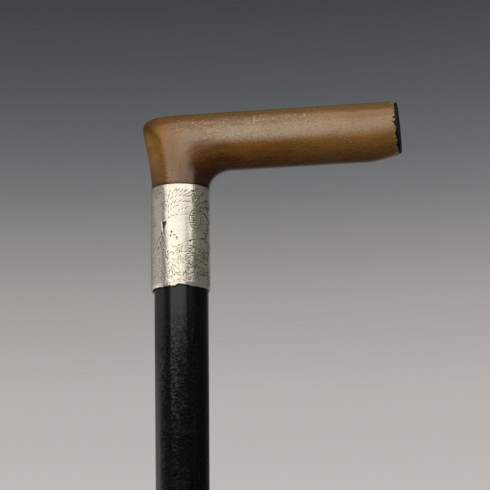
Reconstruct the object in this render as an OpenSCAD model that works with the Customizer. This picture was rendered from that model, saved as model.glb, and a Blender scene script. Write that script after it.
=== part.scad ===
// Walking cane: an L-shaped horn handle, a silver collar, an ebonised shaft and a brass ferrule shod with steel.
// The shaft stands along +Z with the centre of its tip at the origin. The grip points along +X.

/* [Cane] */
// Height from the floor to the top of the grip
cane_h = 890; // [820:1:960]

/* [Grip] */
// Distance from the shaft's axis to the outer face of the grip
grip_reach = 83.9; // [74:0.1:100]
// Height of the grip's section
grip_h = 22.6; // [20:0.1:26]
// Breadth of the grip where it leaves the bend
grip_root_w = 22.4; // [20:0.1:26]
// Breadth of the grip at its end
grip_end_w = 21; // [18:0.1:24]
// Length over which the underside rises towards the grip's end
toe_len = 11; // [6:0.5:20]
// Rise of the underside at the grip's end
toe_rise = 2.4; // [0:0.1:4]
// How the rise sets in: 1 is a flat cut, and a higher number starts more softly
toe_curve = 1.4; // [1:0.1:3]
// Length of the worn rounding round the grip's end
rim_len = 2.4; // [0.5:0.1:3]
// How far that rounding draws the grip's end in
rim_round = 0.5; // [0.1:0.1:1]
// Tilt of the grip's end, upper edge back, in degrees
end_tilt = 2.7; // [0:0.1:6]

/* [Bend] */
// Height of the grip's underside above the collar
crook_h = 7; // [5:0.1:12]
// Length of the crook's curve, from the neck out to the straight underside
crook_len = 8.5; // [5:0.1:14]
// Lean of the heel at the collar, in degrees
heel_lean = 2.4; // [0:0.1:8]
// How far up the heel's curve is pulled: a higher number gives a squarer corner
heel_pull = 31.4; // [26:0.2:36]
// How far back past the neck the crown's line is pulled: a higher number gives a fuller heel
crown_pull = 17; // [10:0.5:22]
// How far the neck stands in from the collar's outer face
neck_inset = 0.25; // [0.15:0.05:0.4]

/* [End disc] */
// Thickness of the dark disc on the grip's end
disc_t = 0.7; // [0.5:0.1:2]
// Rounding of the disc's outer edge
disc_edge = 0.3; // [0.1:0.05:0.4]
// Diameter of the disc's stem
stem_d = 9; // [6:0.5:12]
// Length of the stem in the grip
stem_len = 10; // [6:0.5:16]
// Gap all round the stem, which the glue fills
stem_gap = 0.1; // [0.05:0.05:0.3]

/* [Collar] */
// Height of the collar
collar_h = 39.3; // [30:0.1:50]
// Thickness of the collar's silver
collar_wall = 0.45; // [0.4:0.05:0.6]
// Bevel round the collar's two outer edges
collar_bevel = 0.12; // [0.05:0.01:0.2]
// How far the collar sits off the shaft's axis, towards the heel
collar_off = 0.3; // [0:0.05:0.4]
// Mean thickness of the cement between the collar and the wood
cement_t = 0.5; // [0.45:0.05:0.9]
// How far the cement stops above the collar's lower edge
cement_up = 1; // [0.5:0.1:2]

/* [Shaft] */
// Diameter of the shaft where it enters the collar
shaft_top_d = 20.6; // [18:0.1:24]

/* [Joint] */
// Depth of the joint between handle and shaft below the collar's top
joint_down = 18; // [12:0.5:24]
// Diameter of the iron stud
stud_d = 6; // [5:0.1:8]
// Length of the stud in the handle
stud_in_handle = 27; // [20:0.5:32]
// Length of the stud in the shaft
stud_in_shaft = 44; // [30:0.5:60]
// Length of the bevel on each end of the stud
stud_bevel = 1.2; // [0.5:0.1:2]
// Gap all round the stud, which the glue fills
stud_gap = 0.1; // [0.05:0.05:0.3]
// Space left past each end of the stud
stud_space = 0.8; // [0.4:0.1:2]

/* [Ferrule] */
// Outer diameter of the ferrule
ferrule_d = 13; // [11:0.1:16]
// Height of the ferrule's brass sleeve
ferrule_h = 32; // [24:0.5:45]
// Thickness of the ferrule's brass
ferrule_wall = 0.7; // [0.5:0.05:1]
// Bevel round the ferrule's upper edge
ferrule_bevel = 0.3; // [0.1:0.05:0.4]
// How far the ferrule stands in from the shaft's face
ferrule_inset = 0.2; // [0.05:0.05:0.5]
// Height of the steel tip below the sleeve
tip_h = 3.6; // [2:0.1:6]
// Length of the tip's stem in the sleeve
tip_stem = 6; // [3:0.5:10]
// Radius of the tip's worn lower edge
tip_edge = 1.2; // [0.5:0.1:1.8]

/* [Ferrule nails] */
// Diameter of each nail
nail_d = 1.6; // [1.2:0.1:2]
// Length of each nail
nail_len = 4.4; // [3:0.1:4.6]
// Distance of the nails below the ferrule's upper edge
nail_down = 7; // [4:0.5:10]
// How far each nail's end is filed in from the ferrule's face
nail_set = 0.04; // [0:0.01:0.1]
// Number of nails round the ferrule
nail_count = 2; // [1:1:4]

/* [Hidden] */
$fn = 64;
eps = 0.01;
oval_sides = 60;
bend_rings = 34;
straight_rings = 4;
toe_rings = 8;
rim_rings = 4;

// Radii, from the wood outwards
shaft_top_r = shaft_top_d / 2;
collar_bore_r = shaft_top_r + cement_t;
collar_r = collar_bore_r + collar_wall;
neck_r = collar_r - neck_inset;
stud_r = stud_d / 2;
stud_bore_r = stud_r + stud_gap;
ferrule_r = ferrule_d / 2;
ferrule_bore_r = ferrule_r - ferrule_wall;
shaft_foot_r = ferrule_r + ferrule_inset;

// Heights along the cane, from the floor up
stem_top = tip_h + tip_stem;
ferrule_top = tip_h + ferrule_h;
nail_z = ferrule_top - nail_down;
collar_top = cane_h - grip_h - crook_h;
collar_foot = collar_top - collar_h;
joint_z = collar_top - joint_down;

// The handle's own heights are counted from the collar's top
crown_z = crook_h + grip_h;
bend_end_x = neck_r + crook_len;
grip_end_x = grip_reach - disc_t;
toe_x = grip_end_x - toe_len;
rim_x = grip_end_x - rim_len;
end_low_z = crook_h + toe_rise;
end_half_h = (crown_z - end_low_z) / 2 - rim_round;
end_w = grip_end_w - 2 * rim_round;
end_middle = [grip_end_x, (crown_z + end_low_z) / 2];

function mix(a, b, share) = a + (b - a) * share;

// An oval ring whose lowest and highest points are given in the cane's side view, as [x, z]
function oval(low, high, breadth) =
    let (
        middle = (low + high) / 2,
        half = (high - low) / 2
    )
    [
        for (i = [0 : oval_sides - 1])
            let (turn = 360 * i / oval_sides)
            [
                middle.x + half.x * cos(turn),
                breadth / 2 * sin(turn),
                middle.y + half.y * cos(turn)
            ]
    ];

// The hollow of the crook, in the side view: a quarter of an oval from the neck to the underside
function crook(share) = [
    neck_r + crook_len * (1 - cos(90 * share)),
    crook_h * sin(90 * share)
];

// The back of the handle, in the side view: one curve up the heel and over to the crown
heel_curve = [
    [-neck_r, 0],
    [-neck_r - heel_pull * sin(heel_lean), heel_pull * cos(heel_lean)],
    [-neck_r - crown_pull, crown_z],
    [bend_end_x, crown_z]
];

function heel(share) =
    let (rest = 1 - share)
    pow(rest, 3) * heel_curve[0]
    + 3 * share * pow(rest, 2) * heel_curve[1]
    + 3 * pow(share, 2) * rest * heel_curve[2]
    + pow(share, 3) * heel_curve[3];

// Through the bend the rings fan out round the crook, and their breadth eases from neck to grip
function bend_ring(share) =
    let (ease = (1 - cos(180 * share)) / 2)
    oval(crook(share), heel(share), mix(2 * neck_r, grip_root_w, ease));

// Along the grip the rings stand upright, and tilt with the end as the underside rises.
// The inset draws a ring in all round.
function grip_ring(x, inset = 0) =
    let (
        toe = max(0, (x - toe_x) / toe_len),
        low_z = crook_h + toe_rise * pow(toe, toe_curve),
        tilt = end_tilt * toe * toe,
        half = ((crown_z - low_z) / 2 - inset) * [-sin(tilt), cos(tilt)],
        middle = [x, (crown_z + low_z) / 2],
        share = (x - bend_end_x) / (grip_end_x - bend_end_x)
    )
    oval(middle - half, middle + half, mix(grip_root_w, grip_end_w, share) - 2 * inset);

// The rounding round the grip's end is a quarter of an oval, from its start to the disc
function rim_ring(share) =
    grip_ring(rim_x + rim_len * sin(90 * share), rim_round * (1 - cos(90 * share)));

function handle_rings() = concat(
    [for (i = [0 : bend_rings]) bend_ring(i / bend_rings)],
    [for (i = [1 : straight_rings]) grip_ring(mix(bend_end_x, toe_x, i / straight_rings))],
    [for (i = [1 : toe_rings]) grip_ring(mix(toe_x, rim_x, i / toe_rings))],
    [for (i = [1 : rim_rings]) rim_ring(i / rim_rings)]
);

// A ring of the end disc, moved out along the end's own axis and drawn in at its edge
function disc_ring(out, edge) =
    let (
        middle = end_middle + out * [cos(end_tilt), sin(end_tilt)],
        half = (end_half_h - edge) * [-sin(end_tilt), cos(end_tilt)]
    )
    oval(middle - half, middle + half, end_w - 2 * edge);

// A closed skin over a row of rings, with a flat fan over each end
module loft(rings) {
    sides = len(rings[0]);
    last = (len(rings) - 1) * sides;
    points = [for (ring = rings) each ring];
    walls = [
        for (start = [0 : sides : last - sides], i = [0 : sides - 1])
            let (
                p = start + i,
                q = start + (i + 1) % sides
            )
            each [[p, q, p + sides], [q, q + sides, p + sides]]
    ];
    first_end = [for (i = [1 : sides - 2]) [0, i + 1, i]];
    last_end = [for (i = [1 : sides - 2]) [last, last + i, last + i + 1]];
    polyhedron(points = points, faces = concat(walls, first_end, last_end), convexity = 6);
}

// Carries what it holds to the grip's end, with +Z pointing out of the end's middle
module at_grip_end() {
    translate([end_middle.x, 0, end_middle.y])
        rotate([0, 90 - end_tilt, 0])
            children();
}

module handle() {
    color("#7c5a2c")
    translate([0, 0, collar_top])
    difference() {
        union() {
            loft(handle_rings());
            translate([0, 0, -joint_down])
                cylinder(r = shaft_top_r, h = joint_down + crook_h / 4);
        }
        translate([0, 0, -joint_down - eps])
            cylinder(r = stud_bore_r, h = stud_in_handle + stud_space + eps);
        at_grip_end()
            translate([0, 0, -stem_len - stem_gap])
                cylinder(r = stem_d / 2 + stem_gap, h = stem_len + stem_gap + eps);
    }
}

module end_disc() {
    rim = disc_t - disc_edge;
    corner = disc_edge * (1 - sin(45));
    color("#231a16")
    translate([0, 0, collar_top])
    union() {
        loft([
            disc_ring(0, 0), disc_ring(rim, 0),
            disc_ring(disc_t - corner, corner), disc_ring(disc_t, disc_edge)
        ]);
        at_grip_end()
            translate([0, 0, -stem_len])
                cylinder(d = stem_d, h = stem_len + disc_t / 2);
    }
}

// The collar is rolled from thin sheet, so its two edges are only broken, not rounded
module collar() {
    color("#b9b2a4")
    translate([-collar_off, 0, collar_foot])
        rotate_extrude()
            polygon([
                [collar_bore_r, 0], [collar_r - collar_bevel, 0], [collar_r, collar_bevel],
                [collar_r, collar_h - collar_bevel], [collar_r - collar_bevel, collar_h],
                [collar_bore_r, collar_h]
            ]);
}

// The cement fills the uneven gap between the collar and the wood
module collar_cement() {
    fill_h = collar_h - cement_up;
    color("#1c1714")
    translate([0, 0, collar_foot + cement_up])
        difference() {
            translate([-collar_off, 0, 0])
                cylinder(r = collar_bore_r, h = fill_h);
            translate([0, 0, -eps])
                cylinder(r = shaft_top_r, h = fill_h + 2 * eps);
        }
}

module joining_stud() {
    stud_len = stud_in_handle + stud_in_shaft;
    point_r = stud_r - stud_bevel / 2;
    color("#4a4440")
    translate([0, 0, joint_z - stud_in_shaft])
        rotate_extrude()
            polygon([
                [0, 0], [point_r, 0], [stud_r, stud_bevel],
                [stud_r, stud_len - stud_bevel], [point_r, stud_len], [0, stud_len]
            ]);
}

// One nail or its hole, laid along each of the nails' places and pointing outwards
module at_nails() {
    for (i = [0 : nail_count - 1])
        rotate([0, 0, 90 + 360 * i / nail_count])
            translate([ferrule_r - nail_len, 0, nail_z])
                rotate([0, 90, 0])
                    children();
}

module nail_holes() {
    at_nails()
        cylinder(d = nail_d, h = nail_len + eps);
}

// The shaft tapers evenly from the collar to the ferrule, where a turned seat fills the sleeve
module shaft() {
    color("#121212")
    difference() {
        rotate_extrude()
            polygon([
                [0, stem_top], [ferrule_bore_r, stem_top], [ferrule_bore_r, ferrule_top],
                [shaft_foot_r, ferrule_top], [shaft_top_r, collar_foot],
                [shaft_top_r, joint_z], [0, joint_z]
            ]);
        translate([0, 0, joint_z - stud_in_shaft - stud_space])
            cylinder(r = stud_bore_r, h = stud_in_shaft + stud_space + eps);
        nail_holes();
    }
}

module ferrule() {
    color("#a98a4a")
    difference() {
        rotate_extrude()
            polygon([
                [ferrule_bore_r, tip_h], [ferrule_r, tip_h],
                [ferrule_r, ferrule_top - ferrule_bevel],
                [ferrule_r - ferrule_bevel, ferrule_top], [ferrule_bore_r, ferrule_top]
            ]);
        nail_holes();
    }
}

// A steel plug with a stem in the sleeve and a rounded edge where it wears on the ground
module ferrule_tip() {
    color("#6d6a66")
    rotate_extrude() {
        square([ferrule_bore_r, stem_top]);
        square([ferrule_r - tip_edge, tip_h]);
        translate([0, tip_edge])
            square([ferrule_r, tip_h - tip_edge]);
        translate([ferrule_r - tip_edge, tip_edge])
            circle(r = tip_edge);
    }
}

module ferrule_nails() {
    color("#b89a56")
    at_nails()
        cylinder(d = nail_d, h = nail_len - nail_set);
}

handle();
end_disc();
collar();
collar_cement();
joining_stud();
shaft();
ferrule();
ferrule_tip();
ferrule_nails();
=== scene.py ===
# %% [markdown]
# # A walking cane with a horn handle
# The cane is a tapered shaft of wood, stained black, with a handle of brown horn, a collar of
# engraved silver over the joint, and a brass ferrule shod with steel at the foot. The solids are
# already built at their real size. This lesson dresses them: it makes a fine mesh for each piece
# that shows, gives every surface its finish, and then lights the cane and sets up its camera.
#
# Everything is in metres, in the frame of the solids: +Z goes up the shaft from the ground, and
# +X goes from the shaft along the grip.

# %% Load the solids
import math
import random
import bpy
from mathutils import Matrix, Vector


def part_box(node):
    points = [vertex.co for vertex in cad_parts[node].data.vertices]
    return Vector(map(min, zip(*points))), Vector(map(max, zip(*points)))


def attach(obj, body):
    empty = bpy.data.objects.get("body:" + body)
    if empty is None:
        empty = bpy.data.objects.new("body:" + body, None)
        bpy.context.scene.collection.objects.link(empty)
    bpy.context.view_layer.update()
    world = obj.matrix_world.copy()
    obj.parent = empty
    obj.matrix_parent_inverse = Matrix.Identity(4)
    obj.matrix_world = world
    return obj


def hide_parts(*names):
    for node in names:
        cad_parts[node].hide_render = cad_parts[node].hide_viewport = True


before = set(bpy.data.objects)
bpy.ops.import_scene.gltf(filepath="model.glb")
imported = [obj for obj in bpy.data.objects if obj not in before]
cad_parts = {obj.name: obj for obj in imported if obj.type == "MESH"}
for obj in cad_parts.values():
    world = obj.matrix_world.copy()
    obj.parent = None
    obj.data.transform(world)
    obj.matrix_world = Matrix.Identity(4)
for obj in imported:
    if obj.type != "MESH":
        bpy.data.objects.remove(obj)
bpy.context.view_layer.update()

from types import SimpleNamespace

import bpy
from mathutils import Matrix, Vector
from mathutils import noise as soft_noise


def rounded(values):
    """Numbers short enough to print."""
    return [round(value, 4) for value in values]


# %% [markdown]
# ## Sizes
# Places come from the boxes of the solids, so the fine meshes sit where the solids are. A box says
# nothing of the curve inside it, so the handle's curves have their own few sizes, in the same
# words as the solid's: the crook under the grip, the heel behind it, and the rise of the toe.

# %% Sizes that the boxes give
MM = 0.001


def radius_of(node):
    """Radius of a round solid, from its box."""
    low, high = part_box(node)
    return (high.y - low.y) / 2


def ends_of(node):
    """Lowest and highest Z of a solid, from its box."""
    low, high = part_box(node)
    return low.z, high.z


collar_r, cement_r = radius_of("collar"), radius_of("collar_cement")
shaft_top_r, ferrule_r = radius_of("shaft"), radius_of("ferrule")
collar_x = sum(corner.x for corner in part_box("collar")) / 2
collar_foot, collar_top = ends_of("collar")
shaft_foot, shaft_top = ends_of("shaft")
ferrule_foot, ferrule_top = ends_of("ferrule")
tip_top = ends_of("ferrule_tip")[1]
crown_z = ends_of("handle")[1] - collar_top
print(f"collar {2 * collar_r / MM:.1f} mm across, {(collar_top - collar_foot) / MM:.1f} mm high")
print(f"shaft {2 * shaft_top_r / MM:.1f} mm across at the top, ferrule {2 * ferrule_r / MM:.1f} mm")

# %% Sizes of the handle's curves
neck_r = collar_r - 0.25 * MM
crook_h = 7 * MM
crook_len = 8.5 * MM
heel_lean = math.radians(2.4)
heel_pull = 31.4 * MM
crown_pull = 17 * MM
grip_root_w = 22.4 * MM
grip_end_w = 21 * MM
grip_end_x = 83.2 * MM
toe_len = 11 * MM
toe_rise = 2.4 * MM
toe_curve = 1.4
rim_len = 2.4 * MM
rim_round = 0.5 * MM
end_tilt = math.radians(2.7)
tenon_len = collar_top - shaft_top
bend_end_x = neck_r + crook_len
bend_run = 30 * MM
print(f"grip reaches {grip_end_x / MM:.1f} mm and its crown is {crown_z / MM:.1f} mm above the collar")

# %% Sizes of the end disc, the foot and the shaft
disc_t = 0.7 * MM
disc_edge = 0.3 * MM
disc_stem_r = 4.5 * MM
disc_stem_len = 10 * MM
shaft_foot_r = ferrule_r + 0.2 * MM
ferrule_bore_r = ferrule_r - 0.7 * MM
ferrule_bevel = 0.3 * MM
tip_edge = 1.2 * MM
end_low_z = crook_h + toe_rise
end_half_h = (crown_z - end_low_z) / 2 - rim_round
end_half_w = grip_end_w / 2 - rim_round
end_mid_z = collar_top + (crown_z + end_low_z) / 2
print(f"grip's end is {2 * end_half_h / MM:.1f} mm high")

# %% [markdown]
# ## Sums made of nodes
# Geometry and material both need many small sums. Joining Math nodes by hand hides the formula,
# so one class wraps a node's socket and overloads the operators: `1 - mask * 0.5` then reads as
# what it is, and adds the Math nodes by itself. The maker adds any other node, from its type, its
# settings and the values or links of its sockets.

# %% Sockets that can be added and multiplied
class Value:
    """The result of a node, which can be used in a sum like a number."""

    def __init__(self, maker, socket):
        self.maker = maker
        self.socket = socket

    def math(self, operation, *numbers):
        sockets = dict(enumerate(numbers))
        return self.maker.add("ShaderNodeMath", {"operation": operation}, sockets)

    def __add__(self, other):
        return self.math("ADD", self, other)

    def __sub__(self, other):
        return self.math("SUBTRACT", self, other)

    def __rsub__(self, other):
        return self.math("SUBTRACT", other, self)

    def __mul__(self, other):
        return self.math("MULTIPLY", self, other)

    def __truediv__(self, other):
        return self.math("DIVIDE", self, other)

    def __pow__(self, other):
        return self.math("POWER", self, other)

    def __gt__(self, other):
        return self.math("GREATER_THAN", self, other)

    def __lt__(self, other):
        return self.math("LESS_THAN", self, other)

    __radd__ = __add__
    __rmul__ = __mul__

    def sine(self):
        return self.math("SINE", self)

    def cosine(self):
        return self.math("COSINE", self)

    def absolute(self):
        return self.math("ABSOLUTE", self)

    def at_least(self, other):
        return self.math("MAXIMUM", self, other)

    def at_most(self, other):
        return self.math("MINIMUM", self, other)

    def between(self, low, high):
        return self.at_least(low).at_most(high)

    def ramp(self, low, high):
        """Goes smoothly from 0 at low to 1 at high. It falls where high is under low."""
        falls = low > high
        ends = {1: min(low, high), 2: max(low, high), 3: float(falls), 4: float(not falls)}
        settings = {"interpolation_type": "SMOOTHSTEP"}
        return self.maker.add("ShaderNodeMapRange", settings, {"Value": self, **ends})


def mix(low, high, share):
    """Plain blend of two numbers or two results."""
    return low + (high - low) * share


print("sums are ready")


# %% A maker that adds nodes
class Maker:
    """Adds nodes to one tree and joins them up."""

    def __init__(self, tree):
        self.tree = tree

    def add(self, kind, settings=None, sockets=None, result=0):
        """Adds a node and returns one of its results. A socket takes a number or a result."""
        node = self.tree.nodes.new(kind)
        for name, setting in (settings or {}).items():
            if name == "stops":
                self.fill_ramp(node.color_ramp, setting)
            else:
                setattr(node, name, setting)
        for name, value in (sockets or {}).items():
            if isinstance(value, Value):
                self.tree.links.new(value.socket, node.inputs[name])
            else:
                node.inputs[name].default_value = value
        return Value(self, node.outputs[result]) if len(node.outputs) else None

    @staticmethod
    def fill_ramp(ramp, stops):
        while len(ramp.elements) < len(stops):
            ramp.elements.new(0.5)
        for element, (place, colour) in zip(ramp.elements, stops):
            element.position = place
            element.color = (*colour, 1)


print("maker is ready")

# %% [markdown]
# ## Shapes made of nodes
# A shape tree starts with a flat grid whose rows and columns are whole numbers apart, and moves
# each point by a formula. The first helper makes the tree with a named input for each size, and
# the third runs it on an empty object and keeps the plain mesh. A size is set by its socket's
# identifier before the object is first evaluated.

# %% Make and run a shape tree
def new_shape(name, sizes):
    """A geometry tree with an input for each size or guide object, its maker and those inputs."""
    tree = bpy.data.node_groups.new(name, "GeometryNodeTree")
    tree.interface.new_socket("Shape", in_out="OUTPUT", socket_type="NodeSocketGeometry")
    for label, value in sizes.items():
        kind = "NodeSocketObject" if isinstance(value, bpy.types.Object) else "NodeSocketFloat"
        tree.interface.new_socket(label, in_out="INPUT", socket_type=kind)
    maker = Maker(tree)
    group = tree.nodes.new("NodeGroupInput")
    return maker, {label: Value(maker, group.outputs[label]) for label in sizes}


def end_shape(maker, shape, material):
    """Ends a shape tree: smooth shading, real instances and the material."""
    shape = maker.add("GeometryNodeSetShadeSmooth", None, {"Geometry": shape})
    shape = maker.add("GeometryNodeRealizeInstances", None, {"Geometry": shape})
    shape = maker.add("GeometryNodeSetMaterial", None, {"Geometry": shape, "Material": material})
    maker.add("NodeGroupOutput", None, {"Shape": shape})


def run_shape(name, build, material, sizes):
    """Builds a tree, runs it with these sizes and returns a plain mesh object."""
    maker = build(material, sizes)
    piece = bpy.data.objects.new(name, bpy.data.meshes.new(name))
    bpy.context.scene.collection.objects.link(piece)
    modifier = piece.modifiers.new("shape", "NODES")
    modifier.node_group = maker.tree
    for item in maker.tree.interface.items_tree:
        if item.in_out == "INPUT":
            modifier[item.identifier] = sizes[item.name]
    ready = piece.evaluated_get(bpy.context.evaluated_depsgraph_get())
    mesh = bpy.data.meshes.new_from_object(ready)
    piece.modifiers.clear()
    piece.data = mesh
    mesh.name = name
    print(f"{name}: {len(mesh.vertices)} points, {len(mesh.polygons)} faces")
    return piece


print("shape trees can be made and run")


# %% Grids, points and patterns
def grid_of(maker, rows, columns):
    """A flat grid, with the row number and the column number of each point."""
    sockets = {"Size X": float(columns), "Size Y": float(rows - 1)}
    sockets.update({"Vertices X": columns + 1, "Vertices Y": rows})
    grid = maker.add("GeometryNodeMeshGrid", None, sockets)
    place = maker.add("GeometryNodeInputPosition")
    column = maker.add("ShaderNodeSeparateXYZ", None, {0: place}, "X") + columns / 2
    row = maker.add("ShaderNodeSeparateXYZ", None, {0: place}, "Y") + (rows - 1) / 2
    return grid, row, column


def point_at(maker, x, y, z):
    """A vector from three numbers or results."""
    return maker.add("ShaderNodeCombineXYZ", None, {"X": x, "Y": y, "Z": z})


def on_circle(maker, turn, radius, height):
    """The point at this turn of a circle round Z."""
    return point_at(maker, turn.cosine() * radius, turn.sine() * radius, height)


def move_to(maker, shape, place):
    """Sets the place of every point of a shape."""
    return maker.add("GeometryNodeSetPosition", None, {"Geometry": shape, "Position": place})


def keep(maker, shape, name, value, kind="FLOAT"):
    """Stores a number or a vector on every point, under a name that a material can read."""
    settings = {"data_type": kind, "domain": "POINT"}
    sockets = {"Geometry": shape, "Name": name, "Value": value}
    return maker.add("GeometryNodeStoreNamedAttribute", settings, sockets)


def weld(maker, shape):
    """Joins the points that lie on each other, which closes seams and poles."""
    same_place = 0.002 * MM
    return maker.add("GeometryNodeMergeByDistance", None, {"Geometry": shape, "Distance": same_place})


def noise(maker, vector, scale, detail=3.0, rough=0.5, warp=0.0):
    """Cloudy pattern from 0 to 1, about a half on average."""
    sockets = {"Vector": vector, "Scale": scale, "Detail": detail}
    sockets.update({"Roughness": rough, "Distortion": warp})
    return maker.add("ShaderNodeTexNoise", None, sockets)


print("shape helpers are ready")

# %% [markdown]
# ## Helpers for finishes
# A finish is one principled shader. What is the same all over the surface is a number on the
# shader's own socket. What changes comes from noise, read at places that belong to the piece
# itself, so that grain follows a bend and nothing slides when the view changes.

# %% Start and end a finish
def start_finish(name):
    """An empty material and the maker of its nodes."""
    material = bpy.data.materials.new(name)
    material.use_nodes = True
    material.node_tree.nodes.clear()
    return material, Maker(material.node_tree)


def end_finish(maker, sockets):
    """Ends a finish with the principled shader, from the numbers and results of its sockets."""
    shader = maker.add("ShaderNodeBsdfPrincipled", None, sockets)
    maker.add("ShaderNodeOutputMaterial", None, {"Surface": shader})


def stretched(maker, vector, scale, turn=(0, 0, 0)):
    """A vector scaled along its three axes, to draw out a pattern."""
    return maker.add("ShaderNodeMapping", None, {"Vector": vector, "Rotation": turn, "Scale": scale})


def drawn(maker, vector, scale, detail=3.0, rough=0.5, warp=0.0, turn=(0, 0, 0)):
    """Cloudy pattern drawn out along the axes, with a scale for each."""
    return noise(maker, stretched(maker, vector, scale, turn), 1.0, detail, rough, warp)


def blend(maker, share, low, high):
    """Blend of two colours by a share from 0 to 1."""
    low, high = (c if isinstance(c, Value) else (*c, 1) for c in (low, high))
    return maker.add("ShaderNodeMix", {"data_type": "RGBA"}, {0: share, 6: low, 7: high}, 2)


def coated(maker, colour, *coats):
    """A colour under thin coats, each given as its share from 0 to 1 and its own colour."""
    for share, coat in coats:
        colour = blend(maker, share, colour, coat)
    return colour


print("finishes can be started, coated and ended")


# %% Relief, specks and what a point knows
def bump(maker, height, depth, strength=1.0):
    """Small relief: height from 0 to 1, depth in metres."""
    return maker.add("ShaderNodeBump", None, {"Strength": strength, "Distance": depth, "Height": height})


def specks(maker, vector, scale, size):
    """Small round dots of uneven size, 1 inside and 0 outside."""
    cells = maker.add("ShaderNodeTexVoronoi", None, {"Vector": vector, "Scale": scale}, "Distance")
    chance = maker.add("ShaderNodeTexVoronoi", None, {"Vector": vector, "Scale": scale}, "Color")
    limit = part_of(maker, chance, "X").ramp(0.25, 1.0) * size
    return (limit - cells).ramp(0.0, 0.08)


def own_place(maker):
    """The place of a point on its own object, in metres."""
    return maker.add("ShaderNodeTexCoord", None, None, "Object")


def part_of(maker, vector, axis):
    """One of the three numbers of a vector."""
    return maker.add("ShaderNodeSeparateXYZ", None, {0: vector}, axis)


def carried(maker, name, result="Fac"):
    """A number or a vector that the points carry."""
    return maker.add("ShaderNodeAttribute", {"attribute_name": name}, None, result)


print("relief and specks are ready")

# %% [markdown]
# ## The finish of the horn
# Horn is made of fibres that run along it, honey brown where the light goes in and golden at the
# thin heel, where the colour is partly the horn's own and partly a painted glow of light shining
# through. Hands have polished it, and knocks have left a pale haze and a crowd of small creamy
# scuffs along its upper side, and two small pits. The haze is partly wear and partly painted sheen,
# which carries the lamp's pale band further down the grip and round the bend. Painted shade darkens
# the crook and the neck's lower side towards the grip, and a thin dark line where the horn meets
# the silver is partly dirt and partly painted shade. The grain is drawn out along the piece's own
# run, which turns with the bend. The scraper that shaped the neck left fine ripples across it and a
# soft edge beside the heel. Each mark is a mask from 0 to 1, and the colour is built up from the
# masks in thin coats, as a polisher would.

# %% What the horn's marks are read from
# Places in the side view: x from the shaft's middle and z from the collar's top, in millimetres.
CROOK_SHADE = (16, -2)
NECK_PIT = (5.3, 6.2)
GRIP_PIT = (65.8, 12.5)


def away_from(at, place, squash=1.0):
    """Distance from a place in the side view, with X squashed by a share."""
    return (((at.x - place[0]) * squash) ** 2 + (at.z - place[1]) ** 2) ** 0.5


def horn_guides(m):
    """Where a point lies, its run along the bar, and the noises that the marks share."""
    at = SimpleNamespace(place=own_place(m), grain=carried(m, "grain", "Vector"))
    at.x = part_of(m, at.place, "X") / MM
    at.z = (part_of(m, at.place, "Z") - collar_top) / MM
    at.near_side = part_of(m, at.place, "Y") < 0
    at.run = part_of(m, at.grain, "Z")
    at.clouds = drawn(m, at.grain, (0.1, 0.1, 0.05))
    at.streaks = drawn(m, at.grain, (0.9, 0.9, 0.06), 5.0, 0.6)
    at.fibres = drawn(m, at.grain, (3.0, 3.0, 0.22), 4.0, 0.65)
    at.mottle = drawn(m, at.grain, (1.4, 1.4, 1.0), 5.0, 0.7)
    at.heel = at.x.ramp(-2, -8) * at.z.ramp(28, 22)
    at.from_crook = away_from(at, CROOK_SHADE) + (at.mottle - 0.5) * 8 + (at.streaks - 0.5) * 7
    return at


print("horn is shaded round", CROOK_SHADE, "and pitted at", NECK_PIT, "and", GRIP_PIT)


# %% The horn's own colour
def horn_colour(m, at):
    """Honey brown and golden at the heel, partly with a painted glow, with painted shade in the crook
    and low on the neck by the collar, and a thin dark line at the joint that is partly dirt and partly
    painted shade.
    """
    x, z, mottle, streaks = at.x, at.z, at.mottle, at.streaks
    tone = (at.clouds * 0.45 + streaks * 0.3 + mottle * 0.25).ramp(0.38, 0.62)
    corner = x.ramp(-6, -11) * z.ramp(20, 25)
    # Painted shade: the neck's lower side towards the grip, by the collar, is darkened where the crook
    # shades it.
    shade_by_collar = (z + (mottle - 0.5) * 8).ramp(14, 4) * (x + (streaks - 0.5) * 3).ramp(3.5, 7.5)
    return coated(
        m, blend(m, tone, (0.190, 0.066, 0.0095), (0.310, 0.122, 0.019)),
        (x.ramp(34, 60) * 0.5, (0.370, 0.175, 0.042)),
        (z.ramp(23, 27) * x.ramp(-4, 6) * 0.75, (0.205, 0.125, 0.038)),
        # The heel's golden coat is partly the horn's own colour and partly a painted glow of light
        # shining through the thin horn.
        (at.heel * 0.85, (0.330, 0.150, 0.006)),
        (z.ramp(13, 3) * x.ramp(-3, -8) * 0.65, (0.10, 0.040, 0.004)),
        (corner * 0.7, (0.15, 0.058, 0.007)),
        (at.fibres.ramp(0.48, 0.68) * 0.5, (0.085, 0.030, 0.006)),
        # Painted shade in the crook, darkest round CROOK_SHADE.
        (at.from_crook.ramp(17, 10) * 0.45, (0.040, 0.013, 0.005)),
        # Painted shade low on the neck by the collar.
        (shade_by_collar * 0.85, (0.032, 0.010, 0.004)),
        # A thin dark line at the joint with the collar, partly dirt and partly painted shade.
        (z.ramp(1.7, 0.3) * 0.9, (0.016, 0.008, 0.004)),
    )


print("horn's own colour is ready")


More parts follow.
